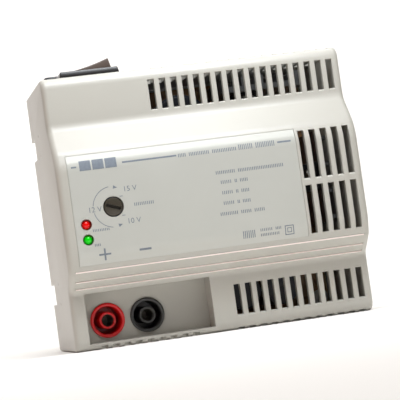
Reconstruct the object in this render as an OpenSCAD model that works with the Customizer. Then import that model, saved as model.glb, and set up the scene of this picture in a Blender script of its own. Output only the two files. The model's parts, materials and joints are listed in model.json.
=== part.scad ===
// Bench power supply in a stepped six-module case, as an assembly.
// X runs along the front from left to right, the front faces -Y, +Z is up.
// The origin is the centre of the footprint, on the face that the case stands on.

/* [Case] */
// Width of the case, six 17.5 mm modules
case_w = 106; // [105:0.5:108]
// Height of the case
case_h = 94; // [93:0.5:95]
// Depth from the raised front to the back
case_d = 60; // [58:0.5:64]
// How far the raised front stands before the upper and lower shoulders
step_d = 9; // [8:0.5:10]
// Wall thickness
wall = 2.4; // [2:0.1:3]

/* [Vents] */
// Distance from slot to slot
vent_pitch = 4; // [4:0.1:4.2]
// Width of a slot
vent_w = 2.25; // [1.8:0.05:2.6]
// Centre of the slot nearest the right side
vent_last_x = 49; // [48:0.5:49]

/* [Sockets] */
// Bore of the contact tubes
socket_bore = 4; // [4:0.01:4.1]
// Distance between the two sockets
socket_gap = 14; // [14:0.5:16]
// Outside diameter of a socket collar
socket_d = 12; // [11.4:0.1:12.4]

/* [Adjuster] */
// Diameter of the adjuster spindle
spindle_d = 6.4; // [6:0.1:6.6]
// Turn of the slot from the horizontal
slot_turn = 20; // [0:5:90]

/* [Switch] */
// Tilt of the rocker at rest
rocker_tilt = 13; // [10:0.5:13]

/* [Hidden] */
$fn = 48;
gap = 0.3;
front_y = -case_d / 2;
back_y = case_d / 2;
shoulder_y = front_y + step_d;
half_w = case_w / 2;
skin = 0.25;
over = 1;

// Centre heights of the features of the front
label_x = [-49, 30.8];
label_z = [28.2, 66.2];
pocket_x = [-48, -4.2];
pocket_z = [2.2, 19.4];
pocket_floor_y = shoulder_y + 9;
pocket_wall = 2;
socket_x = -39.9;
socket_z = 9.4;
collar_y = pocket_floor_y - 0.8;
spindle_x = -35.1;
spindle_z = 47.1;
led_x = -45;
red_led_z = 42.2;
green_led_z = 37.1;

// Latches in the side walls
latch_z = [20.7, 73.8];
latch_h = 7.2;
latch_y = 20;
relief_y = 6.5;

// Boards
board_y = 21;
board_t = 1.6;
control_y = -14.6;
cover_t = 2.8;
sheet_t = 0.4;
board_hole = [[-45, 25.5], [45, 6.5], [-45, 84], [45, 87.5]];
control_hole = [[-21, 54], [-21, 39]];

// Switch and inlet on the top face
switch_x = -34.9;
switch_y = -8;
bezel = [21, 15, 2.3];
switch_body = [19.2, 12.4, 14];
rocker_w = 12;
pivot_z = case_h - 0.1;
inlet_x = -35.9;
inlet_y = 8.7;
flange = [26, 17, 3.2];
inlet_body = [22, 13, 17];
inlet_pin_gap = 8.6;

// ---- helpers ----

// A cylinder along Y from y0 to y1
module rod_y(x, z, y0, y1, d) {
  translate([x, y0, z]) rotate([-90, 0, 0]) cylinder(h = y1 - y0, d = d);
}

// A tube along Y from y0 to y1
module tube_y(x, z, y0, y1, d, bore) {
  difference() {
    rod_y(x, z, y0, y1, d);
    rod_y(x, z, y0 - over, y1 + over, bore);
  }
}

// A block from its lowest to its highest corner
module block(lo, hi) {
  translate(lo) cube(hi - lo);
}

// Points of a circle's arc in the plane of a profile
function arc(c, r, a0, a1, n = 6) = [for (i = [0:n]) c + r * [cos(a0 + (a1 - a0) * i / n), sin(a0 + (a1 - a0) * i / n)]];

// The arc that rounds the corner b between a and c with radius r
function round_corner(a, b, c, r) =
  let (u = (a - b) / norm(a - b), v = (c - b) / norm(c - b))
  let (half = acos(u * v) / 2, w = (u + v) / norm(u + v), m = b + w * r / sin(half))
  let (p = b + u * r / tan(half) - m, q = b + v * r / tan(half) - m)
  let (a0 = atan2(p[1], p[0]), d = atan2(q[1], q[0]) - a0)
  let (sweep = d > 180 ? d - 360 : (d < -180 ? d + 360 : d))
  arc(m, r, a0, a0 + sweep);

function round_outline(pts, radii) =
  let (n = len(pts))
  [for (i = [0:n - 1]) each round_corner(pts[(i + n - 1) % n], pts[i], pts[(i + 1) % n], radii[i])];

// Side view of the case, [y, z], moved in by t on every side
function case_outline(t) =
  let (f = front_y + t, s = shoulder_y + t, k = 0.4 * t)
  round_outline(
    [[s, t], [s, 19.8 + k], [f + 1.8, 26 + k], [f, 32 + k], [f, 62 - k], [f + 1.8, 67 - k],
     [s + 0.2, 76.3 - k], [s, case_h - t], [back_y - (t > 0 ? -over : 0), case_h - t],
     [back_y - (t > 0 ? -over : 0), t]],
    [max(3.5 - t, 1), 4, 4, 10, 10, 8, 5, max(4 - t, 1), 1.2, 1.2]);

// The outline drawn across the width from x0 to x1
module case_prism(t, x0, x1) {
  translate([x0, 0, 0]) rotate([90, 0, 90]) linear_extrude(x1 - x0) polygon(case_outline(t));
}

// One row of slots through a wall, n of them, counted from the right
module vent_row(n, y, z) {
  for (i = [0:n - 1])
    translate([vent_last_x - i * vent_pitch - vent_w / 2, y[0], z[0]])
      cube([vent_w, y[1] - y[0], z[1] - z[0]]);
}

// A lead drawn as twelve-sided stretches that run into each other at the elbows
module lead(route, d) {
  last = len(route) - 2;
  for (i = [0:last]) {
    v = route[i + 1] - route[i];
    before = i > 0 ? d / 3 : 0;
    after = i < last ? d / 3 : 0;
    translate(route[i]) rotate([0, acos(v[2] / norm(v)), atan2(v[1], v[0])]) translate([0, 0, -before])
      cylinder(h = norm(v) + before + after, d = d, $fn = 12);
  }
}

// ---- case ----

module front_cover() {
  color("#d3d3cb") difference() {
    union() {
      difference() {
        case_prism(0, -half_w, half_w);
        case_prism(wall, wall - half_w, half_w - wall);
      }
      pocket_box();
      for (p = control_hole) tube_y(p[0], p[1], front_y + wall - 0.2, control_y, 6, 2.3);
    }
    pocket_space();
    front_vents();
    top_and_bottom_vents();
    label_skin(0);
    for (z = [red_led_z, green_led_z]) rod_y(led_x, z, front_y - over, front_y + 5, 3.8);
    rod_y(spindle_x, spindle_z, front_y - over, front_y + 5, spindle_d + 2 * gap);
    for (i = [0, 1]) rod_y(socket_x + i * socket_gap, socket_z, pocket_floor_y - over, pocket_floor_y + 5, 11);
    translate([switch_x, switch_y, case_h]) cube([switch_body[0] + 0.2, switch_body[1] + 0.2, 9], center = true);
    translate([inlet_x, inlet_y, case_h]) cube([inlet_body[0] + 0.2, inlet_body[1] + 0.2, 9], center = true);
    for (side = [-1, 1]) latch_cuts(side);
  }
}

// Walls around the socket pocket
module pocket_box() {
  block([-half_w + 0.5, shoulder_y + 1, 0.5], [pocket_x[1] + pocket_wall, pocket_floor_y + pocket_wall, pocket_z[1] + pocket_wall]);
}

module pocket_space() {
  block([pocket_x[0], front_y - over, pocket_z[0]], [pocket_x[1], pocket_floor_y, pocket_z[1]]);
}

module front_vents() {
  vent_row(17, [shoulder_y - 4, shoulder_y + 5], [79.2, 89.6]);
  vent_row(12, [shoulder_y - 4, shoulder_y + 5], [5.2, 15.6]);
  for (z = [48.35, 29.3]) vent_row(5, [front_y - over, front_y + 6], [z, z + 16.6]);
}

module top_and_bottom_vents() {
  vent_row(17, [shoulder_y + 2.4, 8], [case_h - 4, case_h + over]);
  vent_row(12, [shoulder_y + 1.4, 8], [-over, 4]);
  for (i = [15:23])
    translate([vent_last_x - i * vent_pitch - vent_w / 2, shoulder_y + 0.9, -over]) cube([vent_w, 5.6, 4]);
}

// The notch for a snap tongue and the two relief holes before it
module latch_cuts(side) {
  for (z = latch_z) {
    translate([side * half_w, latch_y + 10, z]) cube([2 * wall + 1, 20, latch_h], center = true);
    for (e = [-1, 1])
      translate([side * half_w, relief_y, z + e * latch_h / 2]) rotate([0, 90, 0]) cylinder(h = 2 * wall + 1, d = 1.1, center = true, $fn = 24);
  }
}

// The thin skin of the raised front that the label fills, less g on every side
module label_skin(g) {
  difference() {
    intersection() {
      case_prism(0, label_x[0] + g, label_x[1] - g);
      block([label_x[0] - over, front_y - over, label_z[0] + g], [label_x[1] + over, shoulder_y - 3, label_z[1] - g]);
    }
    translate([0, skin, 0]) case_prism(0, label_x[0] - over, label_x[1] + over);
  }
}

module label_overlay() {
  color("#cfd2cb") difference() {
    label_skin(0.1);
    for (z = [red_led_z, green_led_z]) rod_y(led_x, z, front_y - over, front_y + 5, 3.75);
    rod_y(spindle_x, spindle_z, front_y - over, front_y + 5, spindle_d + 2 * gap + 0.2);
  }
}

module back_cover() {
  inner = wall + 0.2;
  color("#c4c4bc") difference() {
    union() {
      block([-half_w + inner, back_y - cover_t, inner], [half_w - inner, back_y, case_h - inner]);
      for (p = board_hole) rod_y(p[0], p[1], board_y + board_t, back_y - 1, 7);
      for (side = [-1, 1]) for (z = latch_z) snap_tongue(side, z);
    }
    for (p = board_hole) rod_y(p[0], p[1], board_y, back_y - 1, 2.5);
    translate([0, back_y, case_h / 2]) cube([70, 1, 50], center = true);
  }
}

// A tongue that lies along the side wall, with a hook in the notch
module snap_tongue(side, z) {
  x_in = half_w - wall - 0.2;
  scale_x = side > 0 ? 0 : 1;
  mirror([scale_x, 0, 0]) {
    block([x_in - 1.6, latch_y - 8, z - 3.2], [x_in, back_y - 1, z + 3.2]);
    block([x_in - 0.5, latch_y + 0.2, z - 3.2], [half_w - 1.4, back_y, z + 3.2]);
  }
}

module insulation_sheet() {
  color("#e8e2c0") difference() {
    block([-49.6, 25.4, 3.6], [49.6, 25.4 + sheet_t, 90.4]);
    for (p = board_hole) rod_y(p[0], p[1], 20, 30, 8);
    for (side = [-1, 1]) for (z = latch_z) translate([side * 50, 25, z]) cube([6, 4, 8], center = true);
  }
}

// ---- boards ----

module main_board() {
  color("#8a6848") difference() {
    block([-48, board_y, 4], [48, board_y + board_t, 90]);
    for (p = board_hole) rod_y(p[0], p[1], 20, 30, 3.2);
    for (side = [-1, 1]) for (z = latch_z) translate([side * 50, 22, z]) cube([6, 6, 8], center = true);
  }
}

module board_screws() {
  color("silver") for (p = board_hole) difference() {
    union() {
      rod_y(p[0], p[1], board_y - 2, board_y, 5.6);
      rod_y(p[0], p[1], board_y - 0.5, board_y + 6, 2.4);
    }
    translate([p[0], board_y - 2, p[1]]) cube([4, 1.6, 0.8], center = true);
    translate([p[0], board_y - 2, p[1]]) cube([0.8, 1.6, 4], center = true);
  }
}

module control_board() {
  color("#8a6848") difference() {
    block([-49.4, control_y, 31], [-17.5, control_y + board_t, 57.5]);
    for (p = control_hole) rod_y(p[0], p[1], -20, -5, 2.8);
  }
}

module control_board_screws() {
  color("silver") for (p = control_hole) difference() {
    union() {
      rod_y(p[0], p[1], control_y + board_t, control_y + board_t + 1.8, 4.8);
      rod_y(p[0], p[1], control_y - 6, control_y + board_t + 0.5, 2.2);
    }
    translate([p[0], control_y + board_t + 1.8, p[1]]) cube([3.4, 1.4, 0.7], center = true);
    translate([p[0], control_y + board_t + 1.8, p[1]]) cube([0.7, 1.4, 3.4], center = true);
  }
}

module led_spacers() {
  color("#e9e9e4") for (z = [red_led_z, green_led_z]) tube_y(led_x, z, -24.9, control_y, 4.6, 2.2);
}

// A 3 mm LED: flange, body, dome and two legs down its spacer to the board
module led(z) {
  rod_y(led_x, z, -25.9, -24.9, 3.7);
  rod_y(led_x, z, front_y + 1.6, -25.4, 3);
  translate([led_x, front_y + 1.6, z]) sphere(d = 3);
  for (dx = [-0.6, 0.6]) rod_y(led_x + dx, z, -25, control_y, 0.5);
}

module led_red() { color("#d90706") led(red_led_z); }

module led_green() { color("#17bf14") led(green_led_z); }

module potentiometer_body() {
  color("#2a5d8f") difference() {
    union() {
      block([spindle_x - 5, -21.2, spindle_z - 5.5], [spindle_x + 5, control_y, spindle_z + 5.5]);
      rod_y(spindle_x, spindle_z, -25, -21, 9);
    }
    rod_y(spindle_x, spindle_z, -26, -18, spindle_d + 0.1);
    rod_y(spindle_x, spindle_z, -20.2, -15.6, 8.8);
  }
}

module adjuster_spindle() {
  color("#403828") difference() {
    union() {
      rod_y(spindle_x, spindle_z, front_y + 0.2, -19.9, spindle_d);
      rod_y(spindle_x, spindle_z, -19.9, -17.6, 8.2);
    }
    translate([spindle_x, front_y, spindle_z]) rotate([0, slot_turn, 0]) cube([5, 2.4, 1], center = true);
  }
}

module potentiometer_wiper() {
  color("#b98b4e") {
    rod_y(spindle_x, spindle_z, -17.6, -17.3, 7.6);
    block([spindle_x - 0.8, -17.4, spindle_z + 1], [spindle_x + 0.8, -16, spindle_z + 3.4]);
  }
}

// ---- sockets ----

// Touch-protected shell: collar, barrel behind the panel and the sleeve around the contact
module socket_shell(x) {
  difference() {
    union() {
      rod_y(x, socket_z, collar_y, pocket_floor_y, socket_d);
      rod_y(x, socket_z, pocket_floor_y - 0.5, 5, 10.8);
    }
    tube_y(x, socket_z, collar_y - over, 1, 9.7, 5.8);
    rod_y(x, socket_z, collar_y + 0.8, 6, 5.1);
    rod_y(x, socket_z, collar_y - over, collar_y + 2, socket_bore + 0.3);
  }
}

module red_socket_shell() { color("#c81419") socket_shell(socket_x); }

module black_socket_shell() { color("#2b2b2b") socket_shell(socket_x + socket_gap); }

module socket_contact_tubes() {
  color("#c9b26b") for (i = [0, 1]) {
    x = socket_x + i * socket_gap;
    difference() {
      rod_y(x, socket_z, collar_y + 1, 5, 5);
      rod_y(x, socket_z, collar_y, 3, socket_bore);
    }
    rod_y(x, socket_z, 5, 5.8, 9);
    rod_y(x, socket_z, 5.8, 12.5, 3.9);
  }
}

module socket_ring_nuts() {
  color("#4a4a48") for (i = [0, 1]) difference() {
    rod_y(socket_x + i * socket_gap, socket_z, pocket_floor_y + pocket_wall, pocket_floor_y + pocket_wall + 2.6, 13.2);
    rod_y(socket_x + i * socket_gap, socket_z, -20, 0, 10.9);
    for (a = [0, 90])
      translate([socket_x + i * socket_gap, pocket_floor_y + pocket_wall + 2.6, socket_z])
        rotate([0, a, 0]) cube([20, 2, 2], center = true);
  }
}

module socket_ring_terminals() {
  color("#d8d8d2") for (i = [0, 1]) {
    x = socket_x + i * socket_gap;
    tube_y(x, socket_z, 5.9, 6.7, 8, 4.1);
    block([x - 1.6, 5.9, socket_z + 3.5], [x + 1.6, 6.7, socket_z + 8]);
    translate([x, 6.3, socket_z + 8]) cylinder(h = 5, d = 4.6, $fn = 24);
  }
}

module socket_stud_nuts() {
  color("silver") for (i = [0, 1]) difference() {
    translate([socket_x + i * socket_gap, 6.8, socket_z]) rotate([-90, 0, 0]) cylinder(h = 3.2, d = 8.08, $fn = 6);
    rod_y(socket_x + i * socket_gap, socket_z, 5, 12, 4);
  }
}

module output_lead_red() {
  color("#b3161b") lead([[socket_x, 6.3, 22.45], [socket_x, 6.3, 25], [-22, 13, 25], [-22, board_y, 25]], 3);
}

module output_lead_black() {
  color("#232323") lead([[socket_x + socket_gap, 6.3, 22.45], [socket_x + socket_gap, 6.3, 25], [-14, 13.4, 25], [-14, board_y, 25]], 3);
}

// ---- switch and inlet ----

module switch_housing() {
  top = case_h + bezel[2];
  color("#1e1c1a") difference() {
    union() {
      translate([switch_x, switch_y, case_h + 0.75]) cube([bezel[0], bezel[1], 1.5], center = true);
      translate([switch_x, switch_y, case_h + 1.4]) cube([bezel[0] - 1, bezel[1] - 1, 1.8], center = true);
      translate([switch_x, switch_y, case_h - switch_body[2] / 2 + 0.5])
        cube([switch_body[0], switch_body[1], switch_body[2] + 1], center = true);
    }
    translate([switch_x, switch_y, top - 5.4]) cube([18.6, rocker_w + 0.3, 12], center = true);
    translate([switch_x, switch_y, pivot_z]) rotate([90, 0, 0]) cylinder(h = 30, d = 1.6, center = true);
    translate([switch_x, switch_y - 7.5, pivot_z]) cube([4, 2, 4], center = true);
    translate([switch_x, switch_y + 7.5, pivot_z]) cube([4, 2, 4], center = true);
  }
}

// The rocker at rest, its right end up
module switch_rocker() {
  reach = 8.42;
  rise = 4;
  color("#4b3a30") translate([switch_x, switch_y, pivot_z]) rotate([0, -rocker_tilt, 0]) difference() {
    translate([0, rocker_w / 2 - 0.15, 0]) rotate([90, 0, 0]) linear_extrude(rocker_w - 0.3)
      polygon(concat([[-reach, -1], [-reach, rise]], [[0, rise - 0.5]], [[reach, rise], [reach, -1]], arc([0, -1.5], 3, -20, -160)));
    rotate([90, 0, 0]) cylinder(h = 30, d = 1.62, center = true);
  }
}

module switch_pivot_pin() {
  color("silver") translate([switch_x, switch_y, pivot_z]) rotate([90, 0, 0]) cylinder(h = rocker_w - 0.4, d = 1.6, center = true);
}

module switch_contact_arms() {
  color("#b98b4e") for (e = [-1, 1])
    block([switch_x - 6, switch_y + 3 * e - 1.2, pivot_z - 7.4], [switch_x + 6, switch_y + 3 * e + 1.2, pivot_z - 6.6]);
}

module switch_terminals() {
  z = case_h - switch_body[2];
  color("#d5c08a") for (dx = [-6.5, 0]) for (e = [-1, 1])
    block([switch_x + dx - 2.2, switch_y + 3.2 * e - 0.4, z - 8], [switch_x + dx + 2.2, switch_y + 3.2 * e + 0.4, z]);
}

module inlet_housing() {
  color("#191b20") difference() {
    union() {
      translate([inlet_x, inlet_y, case_h + flange[2] / 2]) cube(flange, center = true);
      translate([inlet_x, inlet_y, case_h - inlet_body[2] / 2 + 0.5]) cube([inlet_body[0], inlet_body[1], inlet_body[2] + 1], center = true);
    }
    for (e = [-1, 1]) translate([inlet_x + e * 3.4, inlet_y, case_h - 12]) cylinder(h = 20, d = 9.4);
    translate([inlet_x, inlet_y, case_h - 2]) cube([6.8, 8.4, 20], center = true);
    for (e = [-1, 1]) translate([inlet_x + e * inlet_pin_gap / 2, inlet_y, case_h - 20]) cylinder(h = 20, d = 2.44);
  }
}

module inlet_pins() {
  color("#d8d8d2") for (e = [-1, 1]) translate([inlet_x + e * inlet_pin_gap / 2, inlet_y, 0]) {
    translate([0, 0, case_h - 17]) cylinder(h = 14, d = 2.4);
    translate([0, 0, case_h - 3]) sphere(d = 2.4);
    translate([-1.4, -0.4, case_h - 24]) cube([2.8, 0.8, 7]);
  }
}

module mains_lead_live() {
  color("#6b4a2f") lead([[inlet_x - 4.3, inlet_y, 69.9], [inlet_x - 4.3, inlet_y, 67], [switch_x - 6.5, -4.8, 67], [switch_x - 6.5, -4.8, 71.9]], 2);
}

module mains_lead_neutral() {
  color("#2f5f9e") lead([[inlet_x + 4.3, inlet_y, 69.9], [inlet_x + 4.3, inlet_y, 67.5], [-28, 4, 65], [-28, 14.9, 65]], 2);
}

module terminal_block() {
  color("#3c7a4a") difference() {
    block([-36, 15, 60.5], [-24, board_y, 70]);
    for (x = [-32, -28]) rod_y(x, 67.5, 14, 17, 3);
  }
}

// ---- main board parts ----

module fuse() {
  color("#e6e6da") {
    translate([-46, 14.5, 56]) rotate([0, 90, 0]) cylinder(h = 20, d = 5);
  }
}

module fuse_clips() {
  color("#cfcfc8") for (x = [-45.5, -30]) difference() {
    block([x, 11.4, 52.6], [x + 4, board_y, 59.4]);
    translate([x - 1, 14.5, 56]) rotate([0, 90, 0]) cylinder(h = 6, d = 5.06);
    block([x - 1, 17.8, 53.2], [x + 5, board_y - 0.6, 58.8]);
    block([x - 1, 10, 54.2], [x + 5, 13, 57.8]);
  }
}

module varistor() {
  color("#2b5aa6") translate([-47, 13.8, 45.5]) rotate([0, 90, 0]) cylinder(h = 4.4, d = 11);
  color("silver") for (dz = [-3.5, 3.5]) rod_y(-44.8, 45.5 + dz, 17.6, board_y, 0.8);
}

module x_capacitor() {
  color("#d9b64a") block([-40.5, 6, 41.2], [-22.5, board_y, 49.7]);
}

module y_capacitors() {
  for (z = [69, 62]) {
    color("#3a6fb5") translate([-22.6, 15.5, z]) rotate([0, 90, 0]) cylinder(h = 3.4, d = 7.5);
    color("silver") for (dz = [-2.4, 2.4]) rod_y(-20.9, z + dz, 17.6, board_y, 0.7);
  }
}

module choke_core() {
  color("#4d5156") difference() {
    block([-47, 6, 30.4], [-29, 19, 39.6]);
    block([-43.5, 5, 33.4], [-32.5, 20, 36.6]);
  }
}

module choke_windings() {
  color("#b4632c") for (x = [-41, -35]) difference() {
    block([x - 2.4, 7.5, 29], [x + 2.4, board_y, 34.8]);
    block([x - 3, 5.9, 30.2], [x + 3, 19.1, 33.55]);
  }
}

module bridge_rectifier() {
  color("#26262a") block([-18.6, 6, 55], [1.4, 17.5, 58.6]);
  color("silver") for (i = [0:3]) rod_y(-16.1 + i * 5, 56.8, 17.2, board_y, 1);
}

module bulk_capacitor() {
  color("#23303f") difference() {
    rod_y(-4, 73.5, -9, board_y, 22);
    tube_y(-4, 73.5, -12, -8.6, 30, 20.4);
  }
}

module primary_heatsink() {
  color("#b9bcc0") {
    block([12, -10, 83], [42, board_y, 85]);
    for (i = [0:4]) block([13 + i * 6.5, -10, 84.5], [14.4 + i * 6.5, 19, 88.4]);
  }
}

// A TO-220 part with its tab against a heatsink face at z, legs to the board
module power_package(x, z) {
  color("#1f1f22") block([x - 5, 0, z - 4.4], [x + 5, 9, z - 1.3]);
  color("#b7b9bb") difference() {
    block([x - 5, -6.6, z - 1.3], [x + 5, 9, z]);
    translate([x, -3.6, z - 2]) cylinder(h = 3, d = 3.7);
  }
  color("silver") for (dx = [-2.54, 0, 2.54]) block([x + dx - 0.4, 8.8, z - 3.2], [x + dx + 0.4, board_y, z - 2.6]);
}

module primary_transistor() { power_package(22, 83); }

module output_diode() {
  translate([43.4, 0, 50]) rotate([0, 90, 0]) power_package(0, 0);
}

module secondary_heatsink() {
  color("#b9bcc0") {
    block([43.4, -10, 33], [45.4, board_y, 66]);
    for (i = [0:3]) block([45, -10, 34 + i * 9.5], [47.6, 19, 35.4 + i * 9.5]);
  }
}

module heatsink_screws() {
  color("silver") {
    translate([22, -3.6, 79.3]) cylinder(h = 2.4, d = 5.6);
    translate([22, -3.6, 81]) cylinder(h = 2, d = 2.9);
    translate([39.7, -3.6, 50]) rotate([0, 90, 0]) cylinder(h = 2.4, d = 5.6);
    translate([41, -3.6, 50]) rotate([0, 90, 0]) cylinder(h = 2.4, d = 2.9);
  }
}

module controller_chip() {
  color("#202024") block([-14, 17.6, 44], [-7.6, board_y, 53.4]);
}

module optocoupler() {
  color("#e9e7df") block([-14, 17.4, 36], [-7.6, board_y, 40.6]);
}

module transformer_core() {
  color("#3c3d40") difference() {
    block([-3, -8, 38], [31, 19, 52]);
    block([1.5, -3.5, 37], [9, 14.5, 53]);
    block([19, -3.5, 37], [26.5, 14.5, 53]);
  }
}

module transformer_bobbin() {
  color("#1d1d1f") {
    difference() {
      union() {
        block([1.8, -3.3, 34.5], [26.2, -2.1, 55.5]);
        block([1.8, 13.1, 34.5], [26.2, 14.3, 55.5]);
        block([7.8, -3.3, 36.7], [20.2, 14.3, 53.3]);
      }
      block([8.8, -5, 37.8], [19.2, 16, 52.2]);
      block([0, -5, 37.8], [1.4, 16, 52.2]);
    }
    for (z = [34.8, 53.2]) for (i = [0:4]) block([4 + i * 5, 14.2, z], [5 + i * 5, board_y, z + 1]);
  }
}

module transformer_winding() {
  color("#c98a2e") difference() {
    block([2.6, -2, 35.2], [25.4, 13, 54.8]);
    block([7.7, -3, 36.6], [20.3, 14, 53.4]);
  }
}

module output_choke_core() {
  color("#d8c23a") translate([30, 9.9, 22]) difference() {
    cylinder(h = 9, d = 19);
    translate([0, 0, -1]) cylinder(h = 11, d = 10);
  }
}

// Turns of wire around the ring, each a closed loop in a radial plane
module output_choke_winding() {
  color("#b4632c") for (i = [0:11]) translate([30, 9.9, 0]) rotate([0, 0, i * 30]) difference() {
    block([3.6, -0.6, 20.6], [10.9, 0.6, 32.4]);
    block([4.9, -1, 21.9], [9.6, 1, 31.1]);
  }
}

module output_capacitors() {
  color("#23303f") for (x = [-3, 11, 25]) difference() {
    rod_y(x, 12.5, -4, board_y, 12.5);
    tube_y(x, 12.5, -6, -3.7, 20, 11.4);
  }
}

module current_shunt() {
  color("#b98b4e") {
    block([2, 14.6, 25.4], [16, 15.4, 28.2]);
    for (x = [2, 15.2]) block([x, 15, 25.4], [x + 0.8, board_y, 28.2]);
  }
}

module ribbon_cable() {
  color("#b8b8b4") {
    block([-27, control_y + board_t, 32.2], [-19, -12.2, 33]);
    block([-27, -12.6, 27.6], [-19, -12.2, 33]);
    block([-27, -12.6, 27.6], [-19, 16, 28]);
    block([-28, 15, 27], [-18, board_y, 31]);
  }
}

front_cover();
back_cover();
label_overlay();
insulation_sheet();
main_board();
board_screws();
control_board();
control_board_screws();
led_spacers();
led_red();
led_green();
potentiometer_body();
adjuster_spindle();
potentiometer_wiper();
red_socket_shell();
black_socket_shell();
socket_contact_tubes();
socket_ring_nuts();
socket_ring_terminals();
socket_stud_nuts();
output_lead_red();
output_lead_black();
switch_housing();
switch_rocker();
switch_pivot_pin();
switch_contact_arms();
switch_terminals();
inlet_housing();
inlet_pins();
mains_lead_live();
mains_lead_neutral();
terminal_block();
fuse();
fuse_clips();
varistor();
x_capacitor();
y_capacitors();
choke_core();
choke_windings();
bridge_rectifier();
bulk_capacitor();
primary_transistor();
primary_heatsink();
controller_chip();
optocoupler();
transformer_core();
transformer_bobbin();
transformer_winding();
output_diode();
secondary_heatsink();
output_choke_core();
output_choke_winding();
output_capacitors();
current_shunt();
heatsink_screws();
ribbon_cable();
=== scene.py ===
import json
from math import cos, pi, radians, sin, tan

import bmesh
import bpy
from mathutils import Matrix, Vector
from mathutils.bvhtree import BVHTree


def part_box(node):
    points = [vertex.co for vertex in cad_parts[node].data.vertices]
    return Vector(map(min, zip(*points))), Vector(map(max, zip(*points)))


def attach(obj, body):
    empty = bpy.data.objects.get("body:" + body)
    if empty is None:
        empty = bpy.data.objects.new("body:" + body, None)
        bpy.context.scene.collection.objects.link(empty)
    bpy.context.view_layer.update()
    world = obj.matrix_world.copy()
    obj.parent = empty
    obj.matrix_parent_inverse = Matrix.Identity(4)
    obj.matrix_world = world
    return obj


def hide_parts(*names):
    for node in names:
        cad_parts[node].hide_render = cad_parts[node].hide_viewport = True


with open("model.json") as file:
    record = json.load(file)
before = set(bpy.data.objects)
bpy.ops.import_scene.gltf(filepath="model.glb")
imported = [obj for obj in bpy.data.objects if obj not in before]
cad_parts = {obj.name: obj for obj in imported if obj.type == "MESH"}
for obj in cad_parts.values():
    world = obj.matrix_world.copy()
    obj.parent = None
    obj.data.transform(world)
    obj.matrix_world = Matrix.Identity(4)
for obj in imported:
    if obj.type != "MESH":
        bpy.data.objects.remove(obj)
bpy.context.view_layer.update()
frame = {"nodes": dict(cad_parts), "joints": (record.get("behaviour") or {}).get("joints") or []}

# ---- Camera ----
# A long lens from about 0.6 m, low in front and a little to the left, held with a slight roll.
# The plain view transform keeps pale plastic as pale as it is.
camera_data = bpy.data.cameras.new("camera")
camera_data.lens = 151.6
camera_data.sensor_width = 36
camera = bpy.data.objects.new("camera", camera_data)
camera.location = (-0.11915, -0.58953, 0.01648)
camera.rotation_euler = (radians(92.944), radians(7.973), radians(-11.078))
bpy.context.scene.collection.objects.link(camera)
bpy.context.scene.camera = camera
bpy.context.scene.view_settings.view_transform = "Standard"


# ---- Table and backdrop ----
# A pale matt sheet that lies flat under the object and sweeps up behind it, so that no edge shows.
# It is paper, lit a little from behind.
def linear(value):
    """One sRGB channel from 0 to 1, made linear."""
    return value / 12.92 if value <= 0.04045 else ((value + 0.055) / 1.055) ** 2.4


def colour(text):
    """A six-digit sRGB hex colour as linear RGBA."""
    return tuple(linear(int(text[i:i + 2], 16) / 255) for i in (0, 2, 4)) + (1.0,)


def add(tree, kind, settings=None, links=None):
    """Adds a shader node, sets its sockets or properties and joins its inputs.

    A number stands for a socket by its place, where several sockets share a name."""
    node = tree.nodes.new("ShaderNode" + kind)
    for name, value in (settings or {}).items():
        if isinstance(name, int) or name in node.inputs:
            node.inputs[name].default_value = value
        else:
            setattr(node, name, value)
    for name, source in (links or {}).items():
        tree.links.new(source, node.inputs[name])
    return node


def new_material(name):
    """An empty node material with its output node."""
    material = bpy.data.materials.new(name)
    material.use_nodes = True
    tree = material.node_tree
    tree.nodes.clear()
    return material, tree, add(tree, "OutputMaterial")


def object_from(bm, name, material):
    """Makes an object of a bmesh, with its material."""
    mesh = bpy.data.meshes.new(name)
    bm.to_mesh(mesh)
    bm.free()
    piece = bpy.data.objects.new(name, mesh)
    piece.data.materials.append(material)
    bpy.context.scene.collection.objects.link(piece)
    return piece


def paper(name, pale, warm, fleck_mm, glow):
    """Matt backdrop paper lit a little from behind: nearly even, with a faint change of tone."""
    material, tree, out = new_material(name)
    place = add(tree, "TexCoord")
    tone = add(tree, "TexNoise", {"Scale": 1000 / fleck_mm, "Detail": 2.0},
               {"Vector": place.outputs["Object"]})
    mix = add(tree, "Mix", {"data_type": "RGBA", 6: colour(pale), 7: colour(warm)},
              {0: tone.outputs["Fac"]})
    shader = add(tree, "BsdfPrincipled",
                 {"Roughness": 0.9, "Specular IOR Level": 0.1, "Emission Strength": glow,
                  "Emission Color": colour("ffffff")}, {"Base Color": mix.outputs[2]})
    tree.links.new(shader.outputs["BSDF"], out.inputs["Surface"])
    return material


def slide(bm, geometry, offset):
    """Moves the vertices among an operator's results."""
    bmesh.ops.translate(bm, verts=[v for v in geometry if isinstance(v, bmesh.types.BMVert)], vec=offset)


sweep = bmesh.new()
floor_front, floor_back, sweep_radius, sweep_top, sweep_half = -1.6, 1.2, 0.8, 2.6, 3.0
side_view = [(floor_front, 0), (floor_back, 0)]
side_view += [(floor_back + sweep_radius * sin(a), sweep_radius * (1 - cos(a)))
              for a in [radians(9 * i) for i in range(1, 11)]]
side_view.append((floor_back + sweep_radius, sweep_top))
path = [sweep.verts.new((-sweep_half, y, z)) for y, z in side_view]
edges = [sweep.edges.new(pair) for pair in zip(path, path[1:])]
grown = bmesh.ops.extrude_edge_only(sweep, edges=edges)["geom"]
slide(sweep, grown, (2 * sweep_half, 0, 0))
bmesh.ops.recalc_face_normals(sweep, faces=sweep.faces)
backdrop = object_from(sweep, "backdrop", paper("backdrop_paper", "f7f5f2", "f3f0ed", 400, 0.03))


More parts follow.
